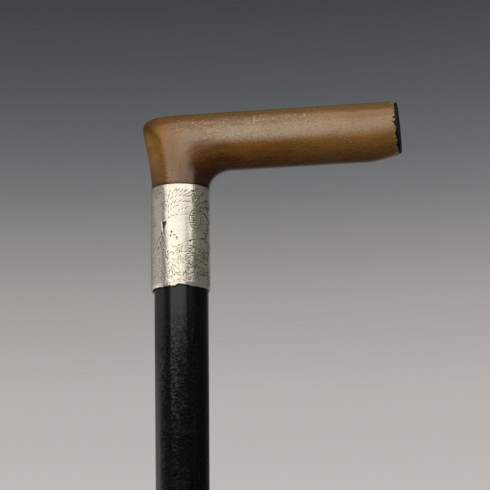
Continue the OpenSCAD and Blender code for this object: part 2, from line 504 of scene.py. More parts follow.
# %% Haze, painted sheen and scuffs on the horn
def horn_wear(m, at):
    """A pale haze along the upper side, partly wear and partly painted sheen that carries the lamp's
    band lower, and a crowd of creamy scuffs in it.
    """
    x, z, run, clouds, mottle = at.x, at.z, at.run, at.clouds, at.mottle
    # Painted sheen: the haze's lower edge follows the lower edge of the lamp's pale band.
    sheen_foot = mix(12.8, 14.1, x.ramp(8, 20)) + (at.streaks - 0.5) * 3
    upper = (z - sheen_foot).ramp(0, 3.2) * (z + (mottle - 0.5) * 3).ramp(26.3, 24.3)
    patch = run.ramp(16, 30) * run.ramp(84, 48)
    by_crown = mottle.ramp(0.5, 0.62) * z.ramp(20, 24) * 0.5
    crowd = (clouds.ramp(0.30, 0.52) * upper).at_least(by_crown) * patch
    coarse = specks(m, stretched(m, at.place, (850, 1300, 1400)), 1.0, 0.40)
    small = specks(m, stretched(m, at.place, (1500, 2200, 2400)), 1.0, 0.45)
    scuff = (coarse + small).at_most(1) * crowd

    lit = mix(0.45, 1.0, z.ramp(24, 18.5))
    # Where the horn is rubbed, and along the bend, the haze is partly wear and partly painted sheen.
    rubbed = patch * clouds.ramp(0.25, 0.5) * 0.6 + run.ramp(12, 24) * 0.3
    haze_and_sheen = rubbed * upper * mottle.ramp(0.2, 0.6) * lit * mix(0.55, 1.0, x.ramp(10, 22))
    # Painted sheen on the bend, carrying the lamp's band further down than its reflection reaches.
    sheen_on_bend = at.from_crook.ramp(16.5, 20.5) * x.ramp(-0.5, 4) * x.ramp(20, 12)
    sheen_on_bend = sheen_on_bend * z.ramp(22, 17.5) * mottle.ramp(0.1, 0.5) * 0.6
    return haze_and_sheen.at_least(sheen_on_bend), scuff


print("horn's haze and scuffs are ready")


# %% Pits in the horn
def horn_pits(m, at):
    """Two small pits on the near side: the pale crumbs in them, and their dark floor."""
    crumbs = noise(m, at.grain, 2.6, 2.0, 0.6)
    neck_pit = away_from(at, NECK_PIT).ramp(0.9, 0.3)
    grip_pit = away_from(at, GRIP_PIT, 0.30).ramp(0.9, 0.3) * 0.85
    in_pits = neck_pit.at_least(grip_pit) * at.near_side
    return in_pits * crumbs.ramp(0.46, 0.38) * 0.8, in_pits * crumbs.ramp(0.48, 0.56)


print("horn's pits are ready")


# %% Horn
def horn_finish():
    material, m = start_finish("horn")
    at = horn_guides(m)
    x, z = at.x, at.z
    haze_and_sheen, scuff = horn_wear(m, at)
    crumb, pit = horn_pits(m, at)
    pore = drawn(m, at.grain, (2.1, 2.1, 1.4), 2.0, 0.5).ramp(0.66, 0.71)
    chip = carried(m, "chip")
    scraped = at.run.ramp(14, 6) * x.ramp(-8, -4)
    ripple = (at.run * 7.0 + at.clouds * 3 + at.streaks * 5).sine() * scraped
    # Painted sheen: a lighter warm coat, and more roughness, just under the lamp's band on the grip.
    sheen_below_band = x.ramp(14, 28) * z.ramp(12.5, 16) * z.ramp(22, 19)
    soft_bend = x.ramp(0, 5) * x.ramp(22, 12) * z.ramp(9, 13) * z.ramp(23, 18)
    turned_edge = x.ramp(-3, -9.5) * z.ramp(12, 17)
    colour = coated(
        m, horn_colour(m, at),
        # Painted sheen under the band.
        (sheen_below_band * at.mottle.ramp(0.3, 0.6) * 0.5, (0.40, 0.21, 0.08)),
        # Pale haze, partly wear and partly painted sheen.
        (haze_and_sheen * 0.8, (0.45, 0.345, 0.235)),
        (scuff * 0.62, (0.72, 0.60, 0.42)),
        (pore * 0.75, (0.035, 0.014, 0.006)),
        (crumb, (0.55, 0.36, 0.17)),
        (pit, (0.025, 0.014, 0.010)),
        # Pale chip edges: partly the pale fibres of the chipped horn and partly a painted highlight
        # along the rim.
        (chip.ramp(0.04, 0.3), (0.50, 0.36, 0.16)),
        (chip.ramp(0.45, 0.75), (0.02, 0.012, 0.010)),
        ((ripple * 0.5 + 0.5) * scraped * 0.2, (0.05, 0.02, 0.006)),
    )
    rough = 0.13 + at.mottle.ramp(0.3, 0.7) * 0.09 + at.fibres.ramp(0.4, 0.7) * 0.05
    rough = rough + scuff * 0.15 + haze_and_sheen * 0.05
    rough = rough + at.heel * 0.12 + soft_bend * 0.2 + sheen_below_band * 0.13
    relief = at.fibres * 0.5 + at.mottle * 0.7 - pore * 1.1 + scuff * 0.8
    relief = relief - ripple * 0.16 - pit * 2 - turned_edge * 8
    end_finish(m, {
        "Base Color": colour, "Metallic": at.heel * mix(0.4, 0.6, z.ramp(14, 21)),
        "Roughness": rough, "IOR": 1.54, "Specular IOR Level": 1.0,
        "Specular Tint": (1.0, 0.87, 0.71, 1.0), "Normal": bump(m, relief, 0.05 * MM, 0.8),
    })
    return material


horn = horn_finish()
print("finish:", horn.name)

# %% [markdown]
# ## The handle
# The handle is one bent bar of horn. Its section is an oval whose lowest and highest points slide
# along two curves in the side view: the crook in front and the heel behind. It could be bent with
# a curve modifier, but that would pinch the crook, so the rings fan out round the crook instead,
# one row of the grid for each ring. The first and the last rows shrink to a point and close the
# ends, and the two rings after the first make the tenon that goes down into the collar. The
# underside rises in a toe near the end, the end itself is rounded over by wear, and its rim is
# chipped, so a noise pulls its points inwards and back from the disc.

# %% Rows and sizes of the handle's shape
PATTERN_R = 11  # millimetres from the middle at which a pattern that goes round is read
tenon_rows = 3
bend_rows = 150
grip_rows = 180
handle_sides = 256
handle_rows = tenon_rows + bend_rows + grip_rows + 2
END_CROWDING = 1.4  # over 1, the grip's rows lie closer together towards its end
handle_sizes = {
    "Neck radius": neck_r, "Tenon radius": shaft_top_r, "Tenon length": tenon_len,
    "Crook height": crook_h, "Crook length": crook_len, "Crown height": crown_z,
    "Heel lean": heel_lean, "Heel pull": heel_pull, "Crown pull": crown_pull,
    "Root breadth": grip_root_w, "End breadth": grip_end_w, "Bend end": bend_end_x,
    "Grip end": grip_end_x, "Toe length": toe_len, "Toe rise": toe_rise, "Toe curve": toe_curve,
    "Rim length": rim_len, "Rim round": rim_round, "End tilt": end_tilt, "Bend run": bend_run,
    "Collar top": collar_top, "Chip depth": 0.5 * MM,
}
print("handle:", handle_rows, "rows of", handle_sides, "points, from", len(handle_sizes), "sizes")


# %% Rings of the bend and of the grip
def pulled(pulls, places):
    """A point on a curve from its four places, each times its pull."""
    a, b, c, d = (pull * place for pull, place in zip(pulls, places))
    return a + b + c + d


def bend_rings(size, bend):
    """Middle, half height and breadth of the ovals that fan out round the crook."""
    quarter = bend * (math.pi / 2)
    crook_x = size["Neck radius"] + size["Crook length"] * (1 - quarter.cosine())
    crook_z = size["Crook height"] * quarter.sine()
    rest = 1 - bend
    pulls = (rest ** 3, 3 * bend * rest ** 2, 3 * bend ** 2 * rest, bend ** 3)
    back_x = -1 * size["Neck radius"]
    lean = size["Heel lean"]
    heel_x = pulled(pulls, (
        back_x, back_x - size["Heel pull"] * lean.sine(), back_x - size["Crown pull"],
        size["Bend end"],
    ))
    heel_z = pulled(pulls, (
        0.0, size["Heel pull"] * lean.cosine(), size["Crown height"], size["Crown height"],
    ))
    middle = ((crook_x + heel_x) * 0.5, (crook_z + heel_z) * 0.5)
    half = ((heel_x - crook_x) * 0.5, (heel_z - crook_z) * 0.5)
    ease = (1 - (bend * math.pi).cosine()) * 0.5
    return *middle, *half, mix(2 * size["Neck radius"], size["Root breadth"], ease)


def grip_rings(size, along, grip_x):
    """The same measures along the grip, which rises in a toe and is rounded over at its end."""
    toe = ((grip_x - size["Grip end"]) / size["Toe length"] + 1).at_least(0)
    low_z = size["Crook height"] + size["Toe rise"] * toe ** size["Toe curve"]
    tilt = size["End tilt"] * toe * toe
    over_rim = ((grip_x - size["Grip end"]) / size["Rim length"] + 1).between(0, 1)
    inset = size["Rim round"] * (1 - (1 - over_rim * over_rim) ** 0.5)
    half_h = (size["Crown height"] - low_z) * 0.5 - inset
    half = (-1 * half_h * tilt.sine(), half_h * tilt.cosine())
    breadth = mix(size["Root breadth"], size["End breadth"], along) - 2 * inset
    return (grip_x, (size["Crown height"] + low_z) * 0.5, *half, breadth), half_h


print("rings of the bend and the grip are ready")


# %% The bent bar
def handle_shape(material, sizes):
    m, size = new_shape("Bent bar of horn", sizes)
    grid, row, column = grid_of(m, handle_rows, handle_sides)
    turn = column * (2 * math.pi / handle_sides)
    bend = ((row - tenon_rows) / bend_rows).between(0, 1)
    along = ((row - tenon_rows - bend_rows) / grip_rows).between(0, 1)
    along = 1 - (1 - along) ** END_CROWDING
    on_grip = row > tenon_rows + bend_rows + 0.5
    on_tenon = row < tenon_rows - 0.5
    open_ring = (row > 0.5) * (row < handle_rows - 1.5)

    tenon_r = size["Tenon radius"]
    tenon_z = -1 * size["Tenon length"] * (row < tenon_rows - 1.5)
    grip_x = mix(size["Bend end"], size["Grip end"], along)
    on_the_tenon = (0.0, tenon_z, -1 * tenon_r, 0.0, 2 * tenon_r)
    on_the_bend = bend_rings(size, bend)
    on_the_grip, half_h = grip_rings(size, along, grip_x)
    mid_x, mid_z, half_x, half_z, breadth = (
        mix(mix(bent, grip, on_grip), tenon, on_tenon)
        for bent, grip, tenon in zip(on_the_bend, on_the_grip, on_the_tenon)
    )
    half_x, half_z, breadth = (open_ring * measure for measure in (half_x, half_z, breadth))

    ragged = noise(m, on_circle(m, turn, PATTERN_R, (grip_x - size["Grip end"]) / MM), 0.55, 5.0, 0.8)
    to_end = (size["Grip end"] - grip_x) / MM
    chip = (ragged - 0.09 * to_end).ramp(0.44, 0.60) * on_grip * to_end.ramp(1.9, 1.0)
    shrink = 1 - chip * size["Chip depth"] * 0.6 / half_h

    x = mid_x + half_x * turn.cosine() * shrink - chip * size["Chip depth"]
    y = breadth * 0.5 * turn.sine() * shrink
    z = mid_z + half_z * turn.cosine() * shrink + size["Collar top"]
    run = size["Bend run"] * bend + (grip_x - size["Bend end"]) * on_grip
    shape = keep(m, grid, "grain", on_circle(m, turn, PATTERN_R, run / MM), "FLOAT_VECTOR")
    shape = keep(m, shape, "chip", chip)
    end_shape(m, weld(m, move_to(m, shape, point_at(m, x, y, z))), material)
    return m


print("bent bar is ready to run")

# %% Run the handle's shape
handle = run_shape("horn_handle", handle_shape, horn, handle_sizes)
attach(handle, "root")
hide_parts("handle")

# %% [markdown]
# ## Turned and lofted pieces
# The end disc, the two pieces of the foot and the floor are stacks of rings, so one function sews
# any stack into a mesh. A ring of no size closes an end, and a stack that starts with an open ring
# is joined to its last one, which gives a tube its bore. Edges sharper than 30 degrees stay sharp,
# and the rest is shaded smooth.

# %% Sew rings into a piece
SHARP_ANGLE = math.radians(30)


def sewn(name, rings, material):
    """A piece from rings of equal count, where a ring of one point closes an end."""
    points = [p for ring in rings for p in ring]
    starts = [sum(len(r) for r in rings[:i]) for i in range(len(rings))]
    faces = []
    for ring, above, first, second in zip(rings, rings[1:], starts, starts[1:]):
        count = max(len(ring), len(above))
        for i in range(count):
            j = (i + 1) % count
            low = [first + i, first + j] if len(ring) > 1 else [first]
            high = [second + j, second + i] if len(above) > 1 else [second]
            faces.append(low + high)
    if len(rings[0]) > 1:
        loop = [(starts[-1] + i, starts[0] + i) for i in range(len(rings[0]))]
        for (a, b), (c, d) in zip(loop, loop[1:] + loop[:1]):
            faces.append([a, c, d, b])
    mesh = bpy.data.meshes.new(name)
    mesh.from_pydata(points, [], faces)
    mesh.validate()
    mesh.shade_smooth()
    mesh.set_sharp_from_angle(angle=SHARP_ANGLE)
    mesh.materials.append(material)
    piece = bpy.data.objects.new(name, mesh)
    bpy.context.scene.collection.objects.link(piece)
    print(f"{name}: {len(mesh.vertices)} points, {len(mesh.polygons)} faces")
    return piece


print("rings can be sewn")

# %% [markdown]
# ## The end disc
# The grip ends in a thin disc of dark horn, almost black and dull from use, with a stem that is
# glued into the grip. It is lofted square to the tilted end, and its edge is rounded over.

# %% Dark horn
def dark_horn_finish():
    material, m = start_finish("dark_horn")
    place = own_place(m)
    clouds = noise(m, place, 350.0, 4.0, 0.6)
    wear = noise(m, place, 1100.0, 4.0, 0.7)
    colour = blend(m, clouds.ramp(0.4, 0.7), (0.006, 0.004, 0.004), (0.018, 0.010, 0.007))
    colour = blend(m, wear.ramp(0.56, 0.7) * 0.7, colour, (0.10, 0.055, 0.030))
    end_finish(m, {
        "Base Color": colour, "Roughness": 0.5 + wear * 0.2, "IOR": 1.5, "Specular IOR Level": 0.25,
        "Normal": bump(m, wear, 0.04 * MM, 0.6),
    })
    return material


dark_horn = dark_horn_finish()
print("finish:", dark_horn.name)

# %% Loft the end disc
DISC_SIDES = 192
EDGE_STEPS = 6


def disc_ring(out, half_h, half_w):
    """An oval ring square to the tilted end, this far out from it."""
    middle = Vector((grip_end_x + out * math.cos(end_tilt), 0, end_mid_z + out * math.sin(end_tilt)))
    if not half_h:
        return [middle]
    up = Vector((-math.sin(end_tilt), 0, math.cos(end_tilt)))
    side = Vector((0, 1, 0))
    angles = [2 * math.pi * i / DISC_SIDES for i in range(DISC_SIDES)]
    return [middle + up * half_h * math.cos(a) - side * half_w * math.sin(a) for a in angles]


def disc_rings():
    """Rings from the stem's inner end, out over the back and the edge, to the face's middle."""
    rings = [disc_ring(-disc_stem_len, 0, 0), disc_ring(-disc_stem_len, disc_stem_r, disc_stem_r)]
    rings += [disc_ring(0, disc_stem_r, disc_stem_r), disc_ring(0, end_half_h, end_half_w)]
    for step in range(EDGE_STEPS + 1):
        a = math.pi / 2 * step / EDGE_STEPS
        inset = disc_edge * (1 - math.cos(a))
        out = disc_t - disc_edge + disc_edge * math.sin(a)
        rings.append(disc_ring(out, end_half_h - inset, end_half_w - inset))
    flat_h, flat_w = end_half_h - disc_edge, end_half_w - disc_edge
    for share in (0.9, 0.75, 0.55, 0.35, 0.15, 0):
        rings.append(disc_ring(disc_t, flat_h * share, flat_w * share))
    return rings


end_disc = sewn("horn_end_disc", disc_rings(), dark_horn)
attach(end_disc, "root")
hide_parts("end_disc")

# %% [markdown]
# ## The finish of the silver
# The collar is soft silver, worn bright where it is rubbed and dark in the cuts, where polish
# never reaches. A dull film of tarnish and fine scratches scatters part of the light, so the
# surface isn't a pure mirror.

# %% Silver
def silver_finish():
    material, m = start_finish("silver")
    cut, dent = carried(m, "cut"), carried(m, "dent")
    sheet = carried(m, "sheet", "Vector")
    clouds = noise(m, sheet, 0.16, 4.0, 0.6)
    grime = noise(m, sheet, 1.3, 5.0, 0.7)
    fine = noise(m, sheet, 4.5, 3.0, 0.6)
    scratch_a = drawn(m, sheet, (7, 7, 0.5), 2.0, turn=(0.5, 0, 0)).ramp(0.6, 0.7)
    scratch_b = drawn(m, sheet, (7, 7, 0.5), 2.0, turn=(-0.7, 0.3, 0)).ramp(0.62, 0.72)
    tarnish = (clouds * 0.5 + grime * 0.5).ramp(0.44, 0.66)
    warm = part_of(m, sheet, "X").ramp(1, 7)
    colour = coated(
        m, blend(m, tarnish * 0.4 + warm * 0.1, (0.96, 0.90, 0.745), (0.66, 0.53, 0.38)),
        (fine.ramp(0.56, 0.72) * 0.15, (0.34, 0.28, 0.20)),
        (cut.ramp(0.1, 0.8) * 0.82, (0.11, 0.085, 0.058)),
        (dent.ramp(0.3, 0.8) * 0.9, (0.03, 0.026, 0.022)),
    )
    rough = 0.13 + tarnish * 0.1 + cut * 0.25 + fine * 0.05
    relief = clouds * 2.0 + fine * 0.3 - scratch_a * 0.4 - scratch_b * 0.4
    end_finish(m, {
        "Base Color": colour, "Metallic": 0.72, "Roughness": rough,
        "Normal": bump(m, relief, 0.03 * MM, 0.6),
    })
    return material


silver = silver_finish()
print("finish:", silver.name)

# %% [markdown]
# ## The engraver's cuts
# The collar is engraved with curls and feathers, all made of short separate cuts that swell and
# taper. Each cut is a thin kite on the flat sheet. A row sets cuts along a curve, all leaning from
# it by one angle: with no lean it is a dashed line, with a lean it is one side of a feather. A curl
# is a small spiral of cuts with barbs. The sheet is laid out in millimetres, with x round the
# collar from its front and y up from its foot. The engraver's hand is never quite steady, so
# random draws from a fixed seed sway most of the cuts.

# %% One cut, a row of cuts, a curl
sheet_h = (collar_top - collar_foot) / MM
sheet_w = 2 * math.pi * collar_r / MM
engraver = random.Random(11)


def heading(angle):
    """A step of 1 mm in this direction on the sheet."""
    return Vector((math.cos(angle), math.sin(angle)))


def kite(cuts, start, end, width):
    """One tapered cut from start to end, widest a third of the way along."""
    start, end = Vector(start), Vector(end)
    along = end - start
    side = Vector((-along.y, along.x)).normalized() * width / 2
    belly = start + along * 0.35
    cuts.append([start, belly - side, end, belly + side])


def row_of_cuts(cuts, start, angle, length, bend, gap, lean, reach):
    """Cuts set along a curve that turns by bend in all, each leaning from it by the same angle."""
    point = Vector(start)
    steps = max(2, round(length / gap))
    for i in range(steps):
        ahead = angle + bend * (i + 0.5) / steps
        sway = engraver.uniform(0.85, 1.15)
        way = ahead + lean * sway + engraver.uniform(-0.15, 0.15)
        kite(cuts, point, point + heading(way) * reach * sway * 1.15, engraver.uniform(0.2, 0.32))
        point = point + heading(ahead) * gap


def curl(cuts, centre, radius, start, wind):
    """A small spiral of cuts, with barbs on its outer side."""
    spans = 7
    points = []
    for i in range(spans + 1):
        points.append(centre + heading(start + wind * i / spans) * radius * (1 - 0.11 * i))
    for p, q in zip(points, points[1:]):
        kite(cuts, p, mix(p, q, 0.85), 0.26)
    turn_way = 1 if wind > 0 else -1
    for i in range(3):
        away = start + wind * i / spans
        foot = centre + heading(away) * (radius + 0.35)
        kite(cuts, foot, foot + heading(away - turn_way * 0.9) * 1.4, 0.28)


print("engraver's strokes are ready")

# %% [markdown]
# The layout leaves a plain field at the front. Plumes arch over it, with feathers fanned out beside
# them, and a medallion stands to its right. Curls, leaves and a few long waves fill the foot, and
# dots in slanting rows fill the left side. The same plan is turned half round for the back.

# %% Plumes and the medallion
def plumes(cuts, at):
    """Arched rows over the plain field, and a fan of feathers to its right."""
    for x, y, angle, length, bend, gap, lean, reach in (
        (-2.6, 26.1, 0.50, 10.6, -0.95, 1.7, 0.0, 1.15), (-2.5, 27.7, 0.95, 5.0, -0.7, 1.4, 0.4, 1.3),
        (-2.6, 29.8, 0.80, 9.6, -1.2, 1.5, 0.5, 1.9), (-2.8, 32.0, 0.70, 9.4, -1.0, 1.6, 0.5, 2.0),
        (-2.4, 34.3, 0.45, 8.6, -0.5, 1.6, 0.8, 1.5), (-1.6, 36.0, 0.10, 5.6, 0.1, 1.7, 1.3, 0.8),
        (1.4, 28.5, 0.45, 4.6, -0.5, 1.4, 0.7, 1.3), (5.2, 35.2, -0.25, 3.6, -0.3, 1.4, 1.0, 1.2),
    ):
        row_of_cuts(cuts, at + Vector((x, y)), angle, length, bend, gap, lean, reach)
    for i in range(5):
        angle = 1.5 - 0.4 * i
        start = at + Vector((7.2, 29.4)) + heading(angle) * 2.2
        row_of_cuts(cuts, start, angle, 8.0, -0.55, 2.3, 0.12, 2.2)
        start = start + heading(angle - 0.2) * 1.3
        row_of_cuts(cuts, start, angle - 0.1, 6.0, -0.55, 1.6, 0.75, 1.2)


def medallion(cuts, at):
    """An oval of dashes with level lines in it and short rays at its right."""
    centre = at + Vector((8.2, 25.6))
    half_w, half_h = 2.5, 3.6
    dashes = 22

    def on_oval(angle, out=0.0):
        reach = ((half_w + out) * math.cos(angle), (half_h + out) * math.sin(angle))
        return centre + Vector(reach)

    for i in range(dashes):
        a, b = (2 * math.pi * (i + end) / dashes for end in (0, 0.95))
        kite(cuts, on_oval(a), on_oval(b), 0.36)
    for i in range(6):
        y = -2.3 + 0.9 * i
        reach = 1.9 * math.sqrt(1 - (y / half_h) ** 2)
        end = Vector((reach * engraver.uniform(0.2, 0.9), y + 0.1))
        kite(cuts, centre + Vector((-reach, y)), centre + end, 0.3)
    for i in range(9):
        a = -1.2 + 0.3 * i
        foot = on_oval(a, 0.5)
        kite(cuts, foot, foot + heading(a) * 1.1, 0.26)


print("plumes and medallion are ready")


# %% Curls, waves and leaves
def curls(cuts, at):
    """Curls at the foot and up the right side, with loose stems between them."""
    for j in range(9):
        for i in range(6):
            x = -2.4 + 4.2 * i + 2.1 * (j % 2) + engraver.uniform(-0.5, 0.5)
            y = 3.2 + 3.7 * j + engraver.uniform(-0.5, 0.5)
            if x < 20 and (j < 4 or x > 12.2):
                wind = engraver.choice((-1, 1)) * engraver.uniform(3.6, 4.8)
                radius = engraver.uniform(1.1, 1.6)
                curl(cuts, at + Vector((x, y)), radius, engraver.uniform(0, 6.3), wind)
    for x, y, angle, length, bend in (
        (-1.5, 3.0, 1.0, 9.0, -1.7), (3.2, 4.0, 1.2, 11.0, -2.2), (8.0, 2.6, 0.9, 10.0, -1.4),
        (1.0, 13.6, -0.5, 6.0, 0.9), (10.4, 16.8, -1.2, 9.0, 1.6), (14.5, 6.0, 1.7, 12.0, -1.0),
    ):
        row_of_cuts(cuts, at + Vector((x, y)), angle, length, bend, 1.4, 0.0, 1.15)


def waves(cuts, at):
    """Long level strokes like water, low on the right."""
    for j in range(5):
        start = at + Vector((6.0 + 0.7 * (j % 3), 4.6 + 2.6 * j))
        row_of_cuts(cuts, start, 0.35 - 0.1 * j, 7.5, -0.7, 2.3, 0.1, 2.1)


def leaves(cuts, at):
    """Short strokes between the curls, which turn this way and that like blown leaves."""
    for j in range(7):
        for i in range(4):
            x = -2.6 + 2.5 * i + engraver.uniform(-0.4, 0.4)
            y = 1.4 + 2.2 * j + engraver.uniform(-0.4, 0.4)
            foot = at + Vector((x, y))
            away = 1.2 + 1.4 * math.sin(0.45 * x + 0.35 * j)
            kite(cuts, foot, foot + heading(away) * engraver.uniform(1.2, 2.4), 0.2)


print("curls, waves and leaves are ready")


# %% Dots
def dots(cuts, at):
    """Tiny dashes in slanting rows, with a few curls over them, on the left of the field."""
    for j in range(23):
        for i in range(11):
            x = -12.9 + 0.86 * i + 0.43 * (j % 2)
            y = 2.0 + 0.8 * j
            if engraver.random() < 0.45:
                p = at + Vector((x, y))
                kite(cuts, p, p + heading(0.9) * engraver.uniform(0.3, 0.6), 0.2)
    for x, y, radius in ((-8.8, 25.0, 1.3), (-10.8, 31.4, 1.2), (-7.4, 35.0, 1.1), (-5.2, 31.6, 0.9)):
        curl(cuts, at + Vector((x, y)), radius, engraver.uniform(0, 6.3), 5.4)


print("dots are ready")


# %% The whole layout
def panel(cuts, middle):
    """One side of the collar, from the middle of its plain field, with three fine strays."""
    at = Vector((middle, 0))
    for motif in (plumes, medallion, curls, leaves, waves, dots):
        motif(cuts, at)
    strays = (
        ((0.3, 14.6), (4.7, 16.8)), ((5.2, 17.0), (9.0, 18.2)), ((-9.5, 15.0), (-5.2, 20.4)),
    )
    for start, end in strays:
        kite(cuts, at + Vector(start), at + Vector(end), 0.12)


def round_the_collar(cut):
    """Brings a cut back onto the sheet, so the layout runs on past its edges."""
    shift = sheet_w * round(cut[0].x / sheet_w)
    return [Vector((p.x - shift, p.y)) for p in cut]


def lay_out_cuts():
    """The cuts of both sides, without those that come too near the sheet's edges."""
    cuts = []
    panel(cuts, 0)
    panel(cuts, sheet_w / 2)
    margin = 0.6
    kept = [cut for cut in cuts if all(margin < p.y < sheet_h - margin for p in cut)]
    return [round_the_collar(cut) for cut in kept]


def flat_faces(name, faces):
    """A mesh of flat faces, which only guides the shape and isn't shown."""
    mesh = bpy.data.meshes.new(name)
    points = [(p[0], p[1], 0) for face in faces for p in face]
    corners = []
    for face in faces:
        first = corners[-1].stop if corners else 0
        corners.append(range(first, first + len(face)))
    mesh.from_pydata(points, [], corners)
    return bpy.data.objects.new(name, mesh)


cut_faces = lay_out_cuts()
cut_guide = flat_faces("cuts", cut_faces)
print("cuts:", len(cut_faces))

# %% [markdown]
# ## Dents and nicks
# Use has left a three-cornered dent at the front, a row of deep nicks under it and a few more
# here and there. Each is a small face, with its corners in millimetres on the sheet.

# %% Lay out the dents
dent_faces = [
    [(-5.1, 24.9), (-3.3, 24.7), (-4.8, 21.6)],
    [(-5.5, 20.9), (-5.2, 20.9), (-5.9, 19.9)],
    [(-5.0, 19.3), (-4.8, 19.4), (-6.0, 16.8)],
    [(-6.2, 17.0), (-5.8, 17.3), (-6.5, 15.9)],
    [(-7.2, 15.6), (-6.9, 15.8), (-7.6, 14.7)],
    [(-9.2, 12.9), (-8.9, 13.1), (-9.5, 12.3)],
    [(0.6, 37.1), (0.8, 37.0), (1.1, 36.5)],
    [(6.7, 36.5), (8.5, 36.6), (7.6, 36.3)],
    [(8.7, 30.9), (9.2, 30.7), (9.3, 30.0)],
    [(8.2, 33.6), (8.5, 33.5), (8.4, 33.2)],
    [(5.9, 17.1), (6.5, 17.5), (6.1, 16.7)],
    [(-1.1, 20.9), (-0.9, 20.9), (-1.2, 20.2)],
    [(-1.6, 19.3), (-1.4, 19.4), (-1.7, 18.8)],
    [(-0.3, 19.5), (0.0, 19.4), (0.3, 19.1)],
    [(0.9, 18.6), (1.1, 18.6), (1.0, 17.6)],
    [(10.4, 18.4), (11.8, 18.9), (13.8, 18.9)],
]
dent_guide = flat_faces("dents", dent_faces)
print("dents:", len(dent_faces))

# %% [markdown]
# ## The collar
# The silversmith engraves a flat sheet and rolls it, and this shape does the same. The grid is the
# sheet: each point finds how near it is to a cut, sinks by that much, and is then rolled round
# the shaft. The rows also go over the two edges and down the inside, so the collar is closed. The
# lower edge is bitten by wear, and the upper edge is rubbed inwards against the horn.

# %% Rows and sizes of the collar's shape
collar_rows = 220
collar_columns = 428
collar_sizes = {
    "Radius": collar_r, "Bore": cement_r, "Foot": collar_foot, "Top": collar_top,
    "Middle": collar_x, "Edge": 0.12 * MM, "Rolled in": 0.12 * MM, "Cut depth": 0.024 * MM,
    "Dent depth": 0.22 * MM, "Hammering": 0.07 * MM, "Bite": 0.8 * MM,
    "Cuts": cut_guide, "Dents": dent_guide,
}
print("collar:", collar_rows, "rows of", collar_columns, "points, on", round(sheet_w, 1), "mm of sheet")


# %% Engrave and roll the collar
def nearness(m, guide, flat, width):
    """1 on a guide face, falling to 0 at this distance from it, measured on the flat sheet."""
    settings = {"transform_space": "ORIGINAL"}
    faces = m.add("GeometryNodeObjectInfo", settings, {"Object": guide}, "Geometry")
    sockets = {0: faces, "Source Position": flat}
    distance = m.add("GeometryNodeProximity", {"target_element": "FACES"}, sockets, "Distance")
    return distance.ramp(width, 0.0)


def collar_shape(material, sizes):
    m, size = new_shape("Engraved sheet", sizes)
    grid, row, column = grid_of(m, collar_rows, collar_columns)
    share = ((row - 2) / (collar_rows - 4)).between(0, 1) + (row < 0.5)
    inside = (row < 1.5).at_least(row > collar_rows - 1.5)
    low_edge = (row - 2).absolute() < 0.5
    edge = low_edge.at_least((row - (collar_rows - 2)).absolute() < 0.5)
    outer = 1 - inside.at_least(edge)
    s = (column / collar_columns - 0.5) * sheet_w
    turn = (column / collar_columns - 0.5) * (2 * math.pi) - math.pi / 2

    wear = noise(m, on_circle(m, turn, PATTERN_R, 0.0), 0.34, 5.0, 0.65)
    worn_side = s.ramp(-5.5, -1.5) * s.ramp(7.5, 4.5)
    worn_through = s.ramp(0.5, 3.2) * s.ramp(6.6, 4.0) * 0.6
    bite = (wear.ramp(0.40, 0.64) * (0.3 + worn_side * 0.4) + worn_through) * size["Bite"]
    z = mix(size["Foot"] + bite, size["Top"], share)
    h = (z - size["Foot"]) / MM
    flat = point_at(m, s, h, 0.0)
    cut = nearness(m, size["Cuts"], flat, 0.15)
    dent = nearness(m, size["Dents"], flat, 0.22)

    sheet = on_circle(m, turn, PATTERN_R, h)
    hammer = noise(m, sheet, 0.13, 2.0)
    lip = h.ramp(sheet_h - 2.6, sheet_h) + h.ramp(1.8, 0.0) * 0.7
    sink = cut * size["Cut depth"] + dent * size["Dent depth"]
    sink = sink + lip * size["Rolled in"] + hammer * size["Hammering"]
    radius = size["Radius"] - sink * outer
    radius = mix(radius, size["Radius"] - size["Edge"] - size["Rolled in"], edge)
    radius = mix(radius, size["Bore"], inside)
    place = point_at(m, size["Middle"] + radius * turn.cosine(), radius * turn.sine(), z)
    shape = keep(m, grid, "cut", cut * outer * (1 - worn_side * 0.35))
    shape = keep(m, shape, "dent", dent * outer)
    shape = keep(m, shape, "sheet", sheet, "FLOAT_VECTOR")
    end_shape(m, weld(m, move_to(m, shape, place)), material)
    return m


print("engraved sheet is ready to run")

# %% Run the collar's shape
collar = run_shape("silver_collar", collar_shape, silver, collar_sizes)
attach(collar, "root")
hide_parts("collar")

# %% [markdown]
# ## The finish of the shaft
# The wood is stained black and was polished. The polish is still bright in the two fingers' breadth
# under the collar. Further down it has worn into wavy patches with small creases and then to a
# bumpy, duller black, which breaks up the reflection. A few scratches show the brown wood. Two
# layers do this: the stain is the base colour, and the polish is the shader's coat, whose weight
# is a mask read from the distance down from the collar.

# %% How the polish has worn
def shaft_polish(m, place, bumps, lumps, folds):
    """The weight of the polish, the creases in it, and where it is wrinkled."""
    side = part_of(m, place, "X") / MM
    down = (collar_foot - part_of(m, place, "Z")) / MM
    ragged = down - (lumps - 0.5) * 60
    worn = ragged.ramp(9.1, 31.1)
    wrinkled = worn * ragged.ramp(76.1, 36.1)
    crease = (folds - 0.5).absolute().ramp(0.05, 0.0) * down.ramp(2.1, 21.1) * lumps.ramp(0.35, 0.5)
    polish = (down - (lumps - 0.5) * 40).ramp(56.1, 5.1) * 0.76
    polish = polish + worn * (bumps.ramp(0.42, 0.60) - 0.38) * 0.8
    polish = polish.between(0, 1) * (1 - crease * 0.85) * mix(0.7, 1.0, down.ramp(71.1, 36.1))
    polish = polish * (1 - side.ramp(0.0, 1.6) * down.ramp(7.1, 31.1) * 0.7)
    left_band = mix(0.9, 0.5, down.ramp(51.1, 6.1))
    polish = mix(polish, left_band, side.ramp(-5.2, -8.2)) * down.ramp(181.1, 96.1)
    return polish, crease, wrinkled


